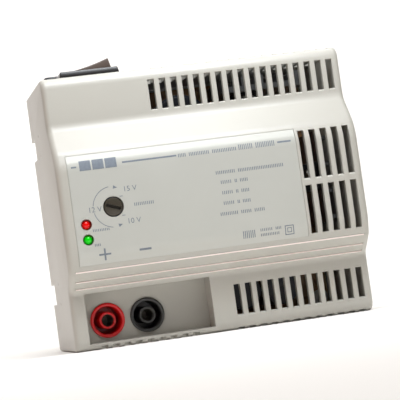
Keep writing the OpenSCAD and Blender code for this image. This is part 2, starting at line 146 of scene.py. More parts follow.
# ---- Light ----
# A soft box overhead and one high in front, a small strip close to the front, a warm card low at
# the left, a wash on the sheet behind, and weak even light from all round.
def soft_box(name, place, aim, size, power, tint):
    """An area light at place, turned to aim: size in metres, power in watts."""
    data = bpy.data.lights.new(name, "AREA")
    data.shape = "RECTANGLE"
    data.size, data.size_y = size
    data.energy = power
    data.color = colour(tint)[:3]
    light = bpy.data.objects.new(name, data)
    light.location = place
    light.visible_camera = False
    light.rotation_euler = (Vector(aim) - Vector(place)).to_track_quat("-Z", "Y").to_euler()
    bpy.context.scene.collection.objects.link(light)


soft_box("overhead", (0.02, -0.16, 0.92), (0, 0, 0.05), (0.5, 0.3), 3.0, "fffaf4")
soft_box("high_front", (0.1, -0.6, 0.9), (0, 0, 0.05), (0.6, 0.4), 4.9, "ffffff")
soft_box("near_strip", (0, -0.10, 0.21), (0, -0.02, 0.06), (0.16, 0.05), 0.28, "eef6ff")
soft_box("left_card", (-0.9, -0.2, 0.12), (0, 0, 0.045), (0.7, 0.3), 0.5, "ff8a6c")
soft_box("wall_wash", (0, 0.6, 1.6), (0, 2.0, 0.5), (1.6, 0.4), 38, "ffffff")
sky = bpy.data.worlds.new("sky")
sky.use_nodes = True
sky.node_tree.nodes["Background"].inputs["Color"].default_value = colour("fbf8f5")
sky.node_tree.nodes["Background"].inputs["Strength"].default_value = 0.03
bpy.context.scene.world = sky


# ---- Front cover ----
# One injection moulding in light grey ABS: a stepped front, both sides, top and bottom, open at
# the back. Its slots, the socket pocket and the notches for the snap tongues are moulded in.
MM = 0.001
case_low, case_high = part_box("front_cover")
half_width = case_high.x
height = case_high.z
front = case_low.y
back = case_high.y
shoulder = front + 9 * MM           # the set-back faces above and below the raised front
wall_thickness = 2.4 * MM
rim_radius = 2.2 * MM


def round_vertices(bm, radii, segments=6):
    """Rounds corners of a flat outline. radii maps each vertex to its radius."""
    for vertex, radius in radii:
        ends = [edge.other_vert(vertex).co - vertex.co for edge in vertex.link_edges]
        half = ends[0].angle(ends[1]) / 2
        bmesh.ops.bevel(bm, geom=[vertex], offset=radius / tan(half), offset_type="OFFSET",
                        segments=segments, profile=0.5, affect="VERTICES", material=-1)


def case_corners(inset):
    """Corners of the side view as (y, z, radius), from the lower front edge round to the back.

    An inset gives the hollow, which runs out past the open back."""
    f, s, k = front + inset, shoulder + inset, 0.4 * inset
    rear = back + (4 * MM if inset else 0)
    return [
        (s, inset, max(3.5 * MM - inset, 1 * MM)),
        (s, 19.8 * MM + k, 2.5 * MM),
        (f + 1.8 * MM, 26 * MM + k, 4 * MM),
        (f, 32 * MM + k, 10 * MM),
        (f, 62 * MM - k, 10 * MM),
        (f + 1.8 * MM, 67 * MM - k, 8 * MM),
        (s + 0.2 * MM, 76.3 * MM - k, 5 * MM),
        (s, height - inset, max(4 * MM - inset, 1 * MM)),
        (rear, height - inset, 0),
        (rear, inset, 0),
    ]


def prism(corners, x_low, x_high):
    """A bmesh solid: the rounded side view drawn across the width."""
    bm = bmesh.new()
    ring = [bm.verts.new((x_low, y, z)) for y, z, radius in corners]
    bm.faces.new(ring)
    round_vertices(bm, [(v, c[2]) for v, c in zip(ring, corners) if c[2]])
    grown = bmesh.ops.extrude_face_region(bm, geom=bm.faces[:])["geom"]
    slide(bm, grown, (x_high - x_low, 0, 0))
    bmesh.ops.recalc_face_normals(bm, faces=bm.faces)
    return bm


def add_block(bm, low, high):
    """Adds a box between two corners to a bmesh."""
    size = Vector(high) - Vector(low)
    made = bmesh.ops.create_cube(bm, size=1)["verts"]
    bmesh.ops.scale(bm, verts=made, vec=size)
    bmesh.ops.translate(bm, verts=made, vec=(Vector(high) + Vector(low)) / 2)
    return made


def add_rod(bm, axis, centre, radius, length, segments=32):
    """Adds a closed cylinder along an axis, centred on a point."""
    made = bmesh.ops.create_cone(bm, cap_ends=True, segments=segments, radius1=radius, radius2=radius,
                                 depth=length)["verts"]
    turns = {"X": Matrix.Rotation(pi / 2, 3, "Y"), "Y": Matrix.Rotation(pi / 2, 3, "X"),
             "Z": Matrix.Identity(3)}
    bmesh.ops.rotate(bm, verts=made, matrix=turns[axis])
    bmesh.ops.translate(bm, verts=made, vec=centre)


def boolean(piece, tool_bm, operation):
    """Cuts or joins a bmesh into a piece's mesh and drops the tool."""
    mesh = bpy.data.meshes.new("tool")
    tool_bm.to_mesh(mesh)
    tool_bm.free()
    tool = bpy.data.objects.new("tool", mesh)
    bpy.context.scene.collection.objects.link(tool)
    modifier = piece.modifiers.new("cut", "BOOLEAN")
    modifier.object = tool
    modifier.operation = operation
    modifier.solver = "EXACT"
    modifier.use_self = True
    bpy.context.view_layer.update()
    finished = piece.evaluated_get(bpy.context.evaluated_depsgraph_get())
    result = bpy.data.meshes.new_from_object(finished)
    piece.modifiers.clear()
    piece.data = result
    bpy.data.objects.remove(tool)


def smooth(piece, degrees=32):
    """Smooth shading with crisp edges above an angle."""
    piece.data.shade_smooth()
    bm = bmesh.new()
    bm.from_mesh(piece.data)
    for edge in bm.edges:
        edge.smooth = len(edge.link_faces) == 2 and edge.calc_face_angle(0) < radians(degrees)
    bm.to_mesh(piece.data)
    bm.free()


flow_mm = 30                        # width of the drifts of tone that the flow of the melt leaves


def moulded(name, base, shade, roughness, grain_mm, grain_depth_mm, edge_mm=0.25, specular=0.5):
    """Injection-moulded plastic: a fine eroded grain, a slow drift of tone and slightly broken edges.

    The grain is that of a spark-eroded mould, drawn a few times coarser so that it shows."""
    material, tree, out = new_material(name)
    place = add(tree, "TexCoord")
    drift = add(tree, "TexNoise", {"Scale": 1000 / flow_mm, "Detail": 3.0},
                {"Vector": place.outputs["Object"]})
    mix = add(tree, "Mix", {"data_type": "RGBA", 6: colour(base), 7: colour(shade)},
              {0: drift.outputs["Fac"]})
    rub = add(tree, "MapRange", {"To Min": roughness - 0.05, "To Max": roughness + 0.06},
              {"Value": drift.outputs["Fac"]})
    grain = add(tree, "TexNoise", {"Scale": 1000 / grain_mm, "Detail": 2.0},
                {"Vector": place.outputs["Object"]})
    edge = add(tree, "Bevel", {"samples": 4, "Radius": edge_mm * MM})
    bump = add(tree, "Bump", {"Strength": 0.6, "Distance": grain_depth_mm * MM},
               {"Height": grain.outputs["Fac"], "Normal": edge.outputs["Normal"]})
    shader = add(tree, "BsdfPrincipled", {"Specular IOR Level": specular, "IOR": 1.53},
                 {"Base Color": mix.outputs[2], "Roughness": rub.outputs["Result"],
                  "Normal": bump.outputs["Normal"]})
    tree.links.new(shader.outputs["BSDF"], out.inputs["Surface"])
    return material


grey_abs = moulded("light_grey_ABS", "bcb9b0", "b6b3a9", 0.36, 0.5, 0.006, edge_mm=0.3)

# The outer form, with rims rounded in full along the front and less along the top and bottom
block = prism(case_corners(0), -half_width, half_width)
rounding = block.edges.layers.float.new("bevel_weight_edge")
for edge in block.edges:
    a, b = (v.co for v in edge.verts)
    if abs(a.x - b.x) < 1e-7 and min(a.y, b.y) < back - 1e-6:
        onto_top = ((a.y + b.y) / 2 - shoulder) / (4 * MM)
        edge[rounding] = 1 - 0.6 * min(max(onto_top, 0), 1)
case = object_from(block, "case_front", grey_abs)
rims = case.modifiers.new("rims", "BEVEL")
rims.width = rim_radius
rims.segments = 5
rims.limit_method = "WEIGHT"
rims.use_clamp_overlap = False

# The hollow, less the walls that stand round the socket pocket
pocket_low = Vector((-48, -40, 2.2)) * MM
pocket_high = Vector((-4.2, -12, 19.4)) * MM
pocket_wall = 2 * MM
inner_half = half_width - wall_thickness
hollow = object_from(prism(case_corners(wall_thickness), -inner_half, inner_half), "hollow", grey_abs)
around = bmesh.new()
add_block(around, (-half_width, pocket_low.y, 0), pocket_high + Vector((1, 1, 1)) * pocket_wall)
boolean(hollow, around, "DIFFERENCE")
hollow_bm = bmesh.new()
hollow_bm.from_mesh(hollow.data)
bpy.data.objects.remove(hollow)
boolean(case, hollow_bm, "DIFFERENCE")

# Three fine steps along the lower slope; each leaves a lip that faces up
lips = [(-28.3, 26.6), (-25.2, 23.4), (-22.45, 21.05)]
step = [(-1.0, 0.95, 0), (0.3, 0.1, 0.25), (0.05, -0.05, 0), (-1.4, -0.4, 0)]
step_half = 50.7 * MM
for y, z in lips:
    corners = [((y + dy) * MM, (z + dz) * MM, radius * MM) for dy, dz, radius in step]
    boolean(case, prism(corners, -step_half, step_half), "DIFFERENCE")

# Slots, pocket, panel holes and latch notches
cuts = bmesh.new()
add_block(cuts, pocket_low, pocket_high)
slot_pitch, slot_half, last_slot = 4 * MM, 1.125 * MM, 49 * MM


def slot_row(count, y, z, first=0):
    """A row of slots from the right-hand end, between the limits y and z in millimetres."""
    for i in range(first, first + count):
        x = last_slot - i * slot_pitch
        add_block(cuts, (x - slot_half, y[0] * MM, z[0] * MM), (x + slot_half, y[1] * MM, z[1] * MM))


def slot_sills(count, y, z):
    """A small chamfer along the bottom edge of each slot of a row, at the face y."""
    for i in range(count):
        middle = Vector((last_slot - i * slot_pitch, y * MM, z * MM))
        reach = Vector((slot_half, 0.4 * MM, 0.4 * MM))
        wedge = add_block(cuts, middle - reach, middle + reach)
        bmesh.ops.rotate(cuts, verts=wedge, cent=middle, matrix=Matrix.Rotation(pi / 4, 3, "X"))


slot_row(17, (-25, -16), (79.2, 89.6))
slot_row(12, (-25, -16), (5.2, 15.6))
slot_row(5, (-31, -24), (48.35, 64.95))
slot_row(5, (-31, -24), (29.3, 45.9))
slot_sills(17, -21, 79.2)
slot_sills(12, -21, 5.2)
slot_sills(5, -30, 48.35)
slot_sills(5, -29.8, 29.3)
slot_row(17, (-18.6, 8), (90, 95))
slot_row(12, (-19.6, 8), (-1, 4))
slot_row(9, (-20.1, -14.5), (-1, 3), first=15)
led_x, red_z, green_z = -45 * MM, 42.2 * MM, 37.1 * MM
spindle_x, spindle_z = -35.1 * MM, 47.1 * MM
socket_z = 9.4 * MM
red_x, black_x = -39.9 * MM, -25.9 * MM
for z in (red_z, green_z):
    add_rod(cuts, "Y", (led_x, front, z), 1.9 * MM, 12 * MM)
add_rod(cuts, "Y", (spindle_x, front, spindle_z), 3.5 * MM, 12 * MM)
for x in (red_x, black_x):
    add_rod(cuts, "Y", (x, -11 * MM, socket_z), 5.5 * MM, 6 * MM)
flange_overlap = 1 * MM
for node_name in ("switch_housing", "inlet_housing"):
    low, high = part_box(node_name)
    add_block(cuts, (low.x + flange_overlap, low.y + flange_overlap, 88 * MM),
              (high.x - flange_overlap, high.y - flange_overlap, 96 * MM))
latch_heights, latch_half, latch_depth = (20.7 * MM, 73.8 * MM), 3.6 * MM, 3.5 * MM
for side in (-1, 1):
    wall = side * half_width
    for z in latch_heights:
        add_block(cuts, (wall - latch_depth, 20 * MM, z - latch_half),
                  (wall + latch_depth, 32 * MM, z + latch_half))
        for end in (-1, 1):
            add_rod(cuts, "X", (wall, 6.5 * MM, z + end * latch_half), 0.55 * MM, 8 * MM, 16)
boolean(case, cuts, "DIFFERENCE")

# The label lies in a shallow sink in the raised front
film_x = (-49 * MM, 30.8 * MM)
film_z = (28.2 * MM, 66.2 * MM)
film_thickness = 0.25 * MM


def front_sheet(x, z, ahead, behind):
    """A bmesh solid that follows the raised front between two widths and two heights."""
    bm = bmesh.new()
    raised_front = case_corners(0)[2:7]
    chain = [bm.verts.new((x[0], corner[0], corner[1])) for corner in raised_front]
    for pair in zip(chain, chain[1:]):
        bm.edges.new(pair)
    round_vertices(bm, [(v, c[2]) for v, c in zip(chain[1:-1], raised_front[1:-1])], 16)
    grown = bmesh.ops.extrude_edge_only(bm, edges=bm.edges[:])["geom"]
    slide(bm, grown, (x[1] - x[0], 0, 0))
    for level, way in ((z[0], -1), (z[1], 1)):
        bmesh.ops.bisect_plane(bm, geom=bm.verts[:] + bm.edges[:] + bm.faces[:], plane_co=(0, 0, level),
                               plane_no=(0, 0, way), clear_outer=True)
    bmesh.ops.recalc_face_normals(bm, faces=bm.faces)
    if sum(f.normal.y for f in bm.faces) > 0:
        bmesh.ops.reverse_faces(bm, faces=bm.faces)
    bmesh.ops.translate(bm, verts=bm.verts, vec=(0, -ahead, 0))
    bmesh.ops.solidify(bm, geom=bm.faces[:], thickness=ahead + behind)
    bmesh.ops.recalc_face_normals(bm, faces=bm.faces)
    return bm


boolean(case, front_sheet(film_x, film_z, 1 * MM, film_thickness), "DIFFERENCE")
smooth(case)
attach(case, "case")
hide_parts("front_cover")

# A round bead along each lip, coloured near-white and pinkish as a painted highlight line
bead_radius, bead_length = 0.24 * MM, 101.2 * MM
beads = bmesh.new()
for y, z in lips:
    add_rod(beads, "X", (0, (y + 0.14) * MM, (z - 0.02) * MM), bead_radius, bead_length, 12)
# The bead's pale colour is a painted highlight, not the moulding's own colour
highlight_painted_abs = moulded("ABS_painted_highlight", "fff4ee", "fbe9e2", 0.22, 0.5, 0.003, edge_mm=0.05)
lip_beads = object_from(beads, "case_lips", highlight_painted_abs)
smooth(lip_beads, 60)
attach(lip_beads, "case")


# ---- Label film ----
# Printed polyester film, silver-grey and satin, stuck into the sink in the raised front. Holes are
# punched in it for the lamps and the adjuster.
def satin_film(name, base, shade, roughness):
    """Silver-pigmented polyester film: a faint mottle and a low, even gloss.

    The pigment's grain is drawn at 0.3 mm, coarser than it is, so that it shows."""
    material, tree, out = new_material(name)
    place = add(tree, "TexCoord")
    mottle = add(tree, "TexNoise", {"Scale": 1000 / 18, "Detail": 4.0},
                 {"Vector": place.outputs["Object"]})
    mix = add(tree, "Mix", {"data_type": "RGBA", 6: colour(base), 7: colour(shade)},
              {0: mottle.outputs["Fac"]})
    pigment = add(tree, "TexNoise", {"Scale": 1000 / 0.3, "Detail": 1.0},
                  {"Vector": place.outputs["Object"]})
    bump = add(tree, "Bump", {"Strength": 0.3, "Distance": 0.003 * MM},
               {"Height": pigment.outputs["Fac"]})
    shader = add(tree, "BsdfPrincipled", {"Roughness": roughness, "Metallic": 0.15, "IOR": 1.6},
                 {"Base Color": mix.outputs[2], "Normal": bump.outputs["Normal"]})
    tree.links.new(shader.outputs["BSDF"], out.inputs["Surface"])
    return material


film_gap = 0.12 * MM                # all round, to the edge of the sink
film_depth = 0.08 * MM              # from the raised front down to the film's face
sheet = front_sheet((film_x[0] + film_gap, film_x[1] - film_gap),
                    (film_z[0] + film_gap, film_z[1] - film_gap), -film_depth, film_thickness)
silver_film = satin_film("silver_grey_polyester_film", "c3c3bb", "bdbdb5", 0.42)
film = object_from(sheet, "label_film", silver_film)
punch = bmesh.new()
for z in (red_z, green_z):
    add_rod(punch, "Y", (led_x, front, z), 1.87 * MM, 12 * MM, 48)
add_rod(punch, "Y", (spindle_x, front, spindle_z), 3.6 * MM, 12 * MM, 64)
boolean(film, punch, "DIFFERENCE")
smooth(film, 40)
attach(film, "case")
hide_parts("label_overlay")


# ---- Print on the label ----
# Screen-printed marks in blue-grey ink: rules, polarity signs and the dial scale. Rows of upright
# ticks stand for words and plain blocks for a mark. The ink lies a few hundredths of a millimetre
# proud of the film. Places and sizes on the label are in millimetres.
ink_lift = 0.04 * MM


def ink(name, base, worn):
    """Screen-print ink: matt, slightly uneven in density."""
    material, tree, out = new_material(name)
    place = add(tree, "TexCoord")
    density = add(tree, "TexNoise", {"Scale": 1000 / 0.8, "Detail": 2.0},
                  {"Vector": place.outputs["Object"]})
    mix = add(tree, "Mix", {"data_type": "RGBA", 6: colour(base), 7: colour(worn)},
              {0: density.outputs["Fac"]})
    shader = add(tree, "BsdfPrincipled", {"Roughness": 0.55}, {"Base Color": mix.outputs[2]})
    tree.links.new(shader.outputs["BSDF"], out.inputs["Surface"])
    return material


printed = bmesh.new()


def bar(x0, x1, z, thick):
    """A printed bar from x0 to x1, centred on z, in enough pieces to follow a curved front."""
    made = bmesh.ops.create_grid(printed, x_segments=max(1, int((x1 - x0) / 4)),
                                 y_segments=max(1, int(thick / 0.2)), size=0.5)["verts"]
    bmesh.ops.scale(printed, verts=made, vec=((x1 - x0) * MM, thick * MM, 1))
    bmesh.ops.rotate(printed, verts=made, matrix=Matrix.Rotation(pi / 2, 3, "X"))
    bmesh.ops.translate(printed, verts=made, vec=((x0 + x1) / 2 * MM, front, z * MM))


word_gap, tick_pitch, tick_width = 0.9, 0.62, 0.28


def words(x0, x1, z, tall, letters):
    """Groups of plain upright ticks that stand for small print: letters in each word, in order."""
    unit = (x1 - x0 - word_gap * (len(letters) - 1)) / sum(letters)
    x = x0
    for count in letters:
        ticks = max(1, round(count * unit / tick_pitch))
        for i in range(ticks):
            left = x + i * count * unit / ticks
            bar(left, left + tick_width, z, tall)
        x += count * unit + word_gap


def arc_mark(x, z, radius, start, stop, thick):
    """A printed arc round a point, angles in degrees from +X towards +Z."""
    steps = max(6, int(abs(stop - start) / 6))
    rim = []
    for i in range(steps + 1):
        a = radians(start + (stop - start) * i / steps)
        rim.append([printed.verts.new(((x + r * cos(a)) * MM, front, (z + r * sin(a)) * MM))
                    for r in (radius - thick / 2, radius + thick / 2)])
    for (a0, a1), (b0, b1) in zip(rim, rim[1:]):
        printed.faces.new((a0, a1, b1, b0))


def arrow_mark(x, z, angle, length):
    """A printed arrowhead with its tip length ahead of a point."""
    a = radians(angle)
    outline = [(length, 0), (-0.3 * length, 0.55 * length), (-0.3 * length, -0.55 * length)]
    turned = [(x + u * cos(a) - w * sin(a), z + u * sin(a) + w * cos(a)) for u, w in outline]
    printed.faces.new([printed.verts.new((u * MM, front, w * MM)) for u, w in turned])


def figures(text, x, z, tall):
    """Dial figures set in the plain built-in type, made a mesh, starting at x and centred on z."""
    curve = bpy.data.curves.new("figures", "FONT")
    curve.body = text
    curve.size = tall * 1.45 * MM
    curve.resolution_u = 3
    letter = bpy.data.objects.new("figures", curve)
    bpy.context.scene.collection.objects.link(letter)
    bpy.context.view_layer.update()
    finished = letter.evaluated_get(bpy.context.evaluated_depsgraph_get())
    flat = bpy.data.meshes.new_from_object(finished)
    upright = Matrix.Rotation(pi / 2, 4, "X")
    flat.transform(Matrix.Translation((x * MM, front, (z - tall / 2) * MM)) @ upright)
    printed.from_mesh(flat)
    bpy.data.objects.remove(letter)
    bpy.data.meshes.remove(flat)


title, small, fine, smallest = 1.9, 1.15, 0.95, 0.85        # heights of print

# Top line: a short dash, three plain blocks, a rule, two sizes of title, a closing dash
bar(-47.6, -45.8, 61.8, 0.55)
for x in (-44.8, -40.4, -36.0):
    bar(x, x + 3.9, 62.0, 3.4)
bar(-30.2, -11.4, 61.6, 0.55)
words(-10.8, 9.8, 61.5, 1.25, (2, 5, 6))
words(10.4, 23.4, 61.8, title, (3, 4))
bar(24.2, 29.0, 61.85, 0.6)

# Dial scale round the spindle, with a caption for it and one for each lamp
dial_x, dial_z, dial_radius, dial_line = -35.1, 47.1, 6.9, 0.22
arc_mark(dial_x, dial_z, dial_radius, 97, 172, dial_line)
arc_mark(dial_x, dial_z, dial_radius, 192, 262, dial_line)
arrow_mark(dial_x + 1.0, dial_z + 6.5, -12, 1.1)
arrow_mark(dial_x + 1.3, dial_z - 6.4, 14, 1.1)
for z in (50.3, 43.8):
    bar(-32.6, -31.5, z, 0.25)
for text, x, z in (("15 V", -31.2, 52.6), ("12 V", -43.9, 46.9), ("10 V", -31.2, 41.7)):
    figures(text, x, z, 1.75)
words(-28.0, -21.0, 47.0, 1.1, (1,))
words(-43.1, -37.2, 39.9, smallest, (1,))
words(-43.1, -40.9, 35.0, smallest, (1,))

# Polarity signs above the sockets
bar(-42.1, -38.0, 31.6, 0.6)
for z in (32.75, 30.45):
    bar(-40.35, -39.75, z, 1.7)
bar(-28.3, -24.2, 31.6, 0.7)

# Ticks for the small print at the right, and a plain square in a square frame
words(1.3, 25.4, 54.0, small, (6, 14))
for z in (50.6, 47.0, 43.4):
    words(2.6, 12.3, z, small, (4, 1, 3))
words(1.0, 16.8, 39.8, small, (5, 3, 3))
words(7.8, 12.4, 31.8, 2.6, (1,))
words(14.0, 21.6, 32.7, fine, (4, 2))
words(14.0, 20.8, 31.0, fine, (1,))
for left, right, bottom, top, line in ((22.6, 25.8, 30.0, 33.0, 0.3), (23.4, 25.0, 30.8, 32.2, 0.25)):
    for z in (top, bottom):
        bar(left, right, z, line)
    for x in (left, right - line):
        bar(x, x + line, (bottom + top) / 2, top - bottom)

# Everything printed is laid onto the film and faces forward
bmesh.ops.triangulate(printed, faces=printed.faces)
film_face = BVHTree.FromPolygons([v.co for v in film.data.vertices],
                                 [p.vertices for p in film.data.polygons])
for vertex in printed.verts:
    hit = film_face.ray_cast((vertex.co.x, 2 * front, vertex.co.z), (0, 1, 0))[0]
    vertex.co.y = hit.y - ink_lift
for face in printed.faces:
    if face.normal.y > 0:
        face.normal_flip()
marks = object_from(printed, "label_print", ink("blue_grey_screen_ink", "6a727d", "828a92"))
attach(marks, "case")


# ---- Adjuster spindle ----
# The shaft of the output voltage adjuster: black glass-filled nylon, turned by a small screwdriver in
# its slot, with a fine rounding on its end. The disc at its other end is closed in and left out.
def round_edges(bm, edges, radius, segments, clamp=False):
    """Rounds the chosen edges of a bmesh."""
    bmesh.ops.bevel(bm, geom=edges, offset=radius, offset_type="OFFSET", segments=segments,
                    profile=0.5, affect="EDGES", material=-1, clamp_overlap=clamp)


black_nylon = moulded("black_glass_filled_nylon", "403a2e", "352f26", 0.34, 0.4, 0.01, edge_mm=0.2)
low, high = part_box("adjuster_spindle")
spindle_radius, disc_room = 3.2 * MM, 2.4 * MM
shaft = bmesh.new()
add_rod(shaft, "Y", (spindle_x, (low.y + high.y - disc_room) / 2, spindle_z), spindle_radius,
        high.y - low.y - disc_room, 64)
end_rim = [e for e in shaft.edges if all(abs(v.co.y - low.y) < 1e-6 for v in e.verts)]
round_edges(shaft, end_rim, 0.35 * MM, 2)
spindle = object_from(shaft, "adjuster_spindle_end", black_nylon)
slot_reach = Vector((2.6, 1.3, 0.55)) * MM
slot_cut = bmesh.new()
blade = add_block(slot_cut, -slot_reach, slot_reach)
bmesh.ops.rotate(slot_cut, verts=blade, matrix=Matrix.Rotation(radians(20), 3, "Y"))
bmesh.ops.translate(slot_cut, verts=blade, vec=(spindle_x, low.y, spindle_z))
boolean(spindle, slot_cut, "DIFFERENCE")
smooth(spindle)
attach(spindle, "spindle")
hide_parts("adjuster_spindle")


# ---- Light-emitting diodes ----
# Two lit 3 mm lamps cast in tinted epoxy: a round-nosed lens that stands through the label, a small
# flange behind it and two legs that go to the board.
def tinted_epoxy(name, lit, deep, strength):
    """Cast tinted epoxy with its chip alight: brightest in the middle, deeper at the rim."""
    material, tree, out = new_material(name)
    facing = add(tree, "LayerWeight", {"Blend": 0.35})
    place = add(tree, "TexCoord")
    haze = add(tree, "TexNoise", {"Scale": 1000 / 1.5, "Detail": 1.0},
               {"Vector": place.outputs["Object"]})
    blend = add(tree, "Math", {"operation": "MULTIPLY_ADD", 1: 0.15},
                {0: haze.outputs["Fac"], 2: facing.outputs["Facing"]})
    mix = add(tree, "Mix", {"data_type": "RGBA", 6: colour(lit), 7: colour(deep)},
              {0: blend.outputs["Value"]})
    shader = add(tree, "BsdfPrincipled",
                 {"Roughness": 0.15, "IOR": 1.54, "Specular IOR Level": 0.3,
                  "Emission Strength": strength},
                 {"Base Color": mix.outputs[2], "Emission Color": mix.outputs[2]})
    tree.links.new(shader.outputs["BSDF"], out.inputs["Surface"])
    return material


lens_radius, flange_radius, flange_front, flange_back = 1.5 * MM, 1.75 * MM, 4.2 * MM, 5.2 * MM
leg_radius, leg_length, leg_offset = 0.25 * MM, 9.8 * MM, 0.6 * MM
for node_name, z, lit, deep in (("led_red", red_z, "d40503", "640000"),
                                ("led_green", green_z, "06c80e", "034a08")):
    low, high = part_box(node_name)
    lens = bmesh.new()
    dome = bmesh.ops.create_uvsphere(lens, u_segments=32, v_segments=16, radius=lens_radius)["verts"]
    bmesh.ops.rotate(lens, verts=dome, matrix=Matrix.Rotation(pi / 2, 3, "X"))
    bmesh.ops.bisect_plane(lens, geom=lens.verts[:] + lens.edges[:] + lens.faces[:],
                           plane_co=(0, 0, 0), plane_no=(0, 1, 0), clear_outer=True)
    rim = [e for e in lens.edges if e.is_boundary]
    for reach, radius in ((flange_front, lens_radius), (flange_front, flange_radius),
                          (flange_back, flange_radius)):
        grown = bmesh.ops.extrude_edge_only(lens, edges=rim)["geom"]
        rim = [g for g in grown if isinstance(g, bmesh.types.BMEdge)]
        for vertex in {v for e in rim for v in e.verts}:
            flat = Vector((vertex.co.x, 0, vertex.co.z)).normalized() * radius
            vertex.co = (flat.x, reach, flat.z)
    bmesh.ops.holes_fill(lens, edges=rim)
    bmesh.ops.translate(lens, verts=lens.verts, vec=(led_x, low.y + lens_radius, z))
    for side in (-1, 1):
        leg = (led_x + side * leg_offset, (low.y + high.y) / 2 + 2.4 * MM, z)
        add_rod(lens, "Y", leg, leg_radius, leg_length, 10)
    bmesh.ops.recalc_face_normals(lens, faces=lens.faces)
    epoxy = tinted_epoxy("tinted_epoxy_" + node_name[4:], lit, deep, 0.42)
    lamp = object_from(lens, node_name + "_lens", epoxy)
    smooth(lamp, 40)
    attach(lamp, "case")
    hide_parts(node_name)


# ---- Safety sockets ----
# Touch-protected 4 mm sockets: a glossy polyamide shell turned up into a collar, with a deep groove
# round an insulated sleeve. The plated contact tube sits inside the sleeve.
def lathe(profile, centre, steps=64):
    """A closed bmesh turned about an axis along Y from (radius, y) points in millimetres."""
    bm = bmesh.new()
    ring = [bm.verts.new((r * MM, y * MM, 0)) for r, y in profile]
    chain = [bm.edges.new(pair) for pair in zip(ring, ring[1:] + ring[:1])]
    bmesh.ops.spin(bm, geom=ring + chain, cent=(0, 0, 0), axis=(0, 1, 0), angle=2 * pi, steps=steps,
                   use_merge=True)
    bmesh.ops.remove_doubles(bm, verts=bm.verts, dist=1e-7)
    bmesh.ops.translate(bm, verts=bm.verts, vec=centre)
    bmesh.ops.recalc_face_normals(bm, faces=bm.faces)
    return bm


collar_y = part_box("red_socket_shell")[0].y / MM
groove_y, flange_y, barrel_y = 1.0, -12.0, 5.0
sleeve = [(2.1, collar_y + 0.2), (2.25, collar_y), (2.75, collar_y), (2.9, collar_y + 0.2)]
groove = [(2.9, groove_y), (4.85, groove_y)]
collar = [(4.85, collar_y + 0.2), (5.05, collar_y), (5.8, collar_y), (6.0, collar_y + 0.2)]
barrel = [(6.0, flange_y), (5.4, flange_y), (5.4, barrel_y), (2.55, barrel_y)]
tube_seat = [(2.55, collar_y + 1.0), (2.1, collar_y + 1.0)]
shell_profile = sleeve + groove + collar + barrel + tube_seat
red_polyamide = moulded("red_polyamide", "e3181c", "d41418", 0.3, 0.6, 0.004, edge_mm=0.15)
black_polyamide = moulded("black_polyamide", "3b3a38", "323130", 0.3, 0.6, 0.004, edge_mm=0.15)
for node_name, x, material, slot_name in (
        ("red_socket_shell", red_x, red_polyamide, "socket_red"),
        ("black_socket_shell", black_x, black_polyamide, "socket_black")):
    shell = object_from(lathe(shell_profile, (x, 0, socket_z)), node_name + "_moulding", material)
    smooth(shell, 50)
    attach(shell, "case")
    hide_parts(node_name)


# ---- Rocker switch ----
# Snap-in power switch: a black moulded housing with a bevelled bezel, and a brown-black rocker that
# turns on a steel pin. The rocker's top is slightly dished and stands up at the right when off.
def soften(bm, radius):
    """Rounds every crisp edge of a bmesh."""
    crisp = [e for e in bm.edges if len(e.link_faces) == 2 and e.calc_face_angle(0) > radians(40)]
    round_edges(bm, crisp, radius, 3, clamp=True)


def block_about(centre, reach, z):
    """A bmesh box: reach is its half size in x and y, z its two heights."""
    bm = bmesh.new()
    add_block(bm, (centre.x - reach[0], centre.y - reach[1], z[0]),
              (centre.x + reach[0], centre.y + reach[1], z[1]))
    return bm


black_polycarbonate = moulded("black_polycarbonate", "1f1b18", "181513", 0.26, 0.5, 0.006, edge_mm=0.15)
brown_polycarbonate = moulded("brown_black_polycarbonate", "54443a", "4a3b32", 0.42, 0.35, 0.01,
                              edge_mm=0.15)
low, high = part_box("switch_housing")
middle = (low + high) / 2
deck, bezel_slope, joint_overlap, clear_above = height, 0.45 * MM, 0.5 * MM, 1 * MM
frame_plate = bmesh.new()
plate = add_block(frame_plate, (low.x, low.y, deck), (high.x, high.y, high.z))
for vertex in plate:
    if vertex.co.z > high.z - 1e-6:
        vertex.co.x += bezel_slope if vertex.co.x < middle.x else -bezel_slope
        vertex.co.y += bezel_slope if vertex.co.y < middle.y else -bezel_slope
soften(frame_plate, 0.3 * MM)
bezel = object_from(frame_plate, "switch_bezel", black_polycarbonate)
body = block_about(middle, (9.6 * MM, 6.2 * MM), (low.z, deck + joint_overlap))
boolean(bezel, body, "UNION")
mouth = block_about(middle, (9.3 * MM, 6.15 * MM), (deck - 9 * MM, high.z + clear_above))
upright = [e for e in mouth.edges if abs(e.verts[0].co.z - e.verts[1].co.z) > 1 * MM]
round_edges(mouth, upright, 0.8 * MM, 4)
boolean(bezel, mouth, "DIFFERENCE")
smooth(bezel, 30)
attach(bezel, "case")
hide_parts("switch_housing")

pivot = Vector(next(j["pos_m"] for j in frame["joints"] if j["name"] == "rocker_pivot"))
reach, rise, dish, rocker_half = 8.42 * MM, 4 * MM, 0.5 * MM, 5.85 * MM
off_tilt = radians(-13)
outline = [(-reach, -1 * MM), (-reach, rise)]
outline += [(reach * t, rise - dish * (1 - t * t)) for t in (-0.75, -0.5, -0.25, 0, 0.25, 0.5, 0.75)]
outline += [(reach, rise), (reach, -1 * MM), (3 * MM, -4 * MM), (-3 * MM, -4 * MM)]
button = bmesh.new()
button.faces.new([button.verts.new((x, -rocker_half, z)) for x, z in outline])
grown = bmesh.ops.extrude_face_region(button, geom=button.faces[:])["geom"]
slide(button, grown, (0, 2 * rocker_half, 0))
bmesh.ops.recalc_face_normals(button, faces=button.faces)
soften(button, 0.35 * MM)
bmesh.ops.rotate(button, verts=button.verts, matrix=Matrix.Rotation(off_tilt, 3, "Y"))
bmesh.ops.translate(button, verts=button.verts, vec=pivot)
